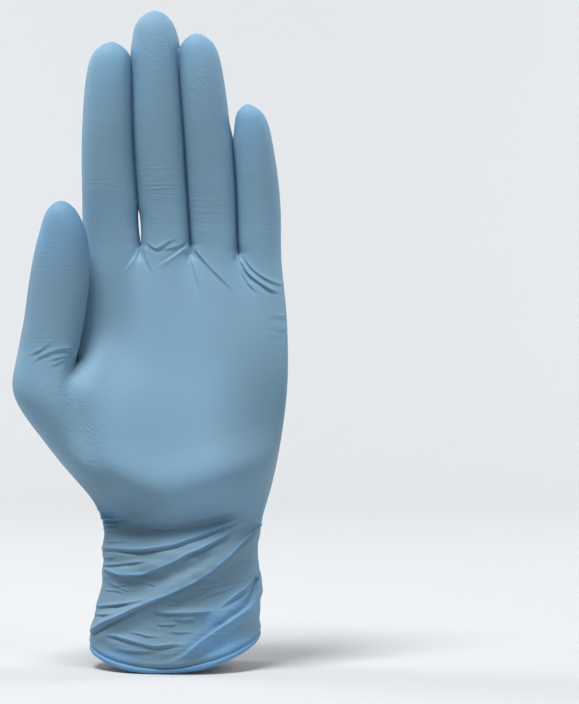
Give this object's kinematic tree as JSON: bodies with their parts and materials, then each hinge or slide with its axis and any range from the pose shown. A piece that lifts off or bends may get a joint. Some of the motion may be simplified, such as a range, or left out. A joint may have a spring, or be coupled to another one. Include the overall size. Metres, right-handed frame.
{
  "type": "disposable glove",
  "caption": "Left-hand exam glove of thin stretchy film, holding the shape of a flat open hand, with a loose wrinkled cuff that ends in a rolled bead.",
  "frame": {"origin": "middle of the cuff's open mouth, level with the lowest point of the rolled bead", "axes": "+Z from the mouth to the fingertips, the palm faces -Y, the thumb lies towards -X"},
  "size_m": [0.0988, 0.047, 0.2376],
  "materials": {
    "nitrile_film": "satin",
    "rolled_nitrile": "satin"
  },
  "bodies": {
    "root": {"glove_film": "nitrile_film", "rolled_bead": "rolled_nitrile"}
  },
  "joints": []
}
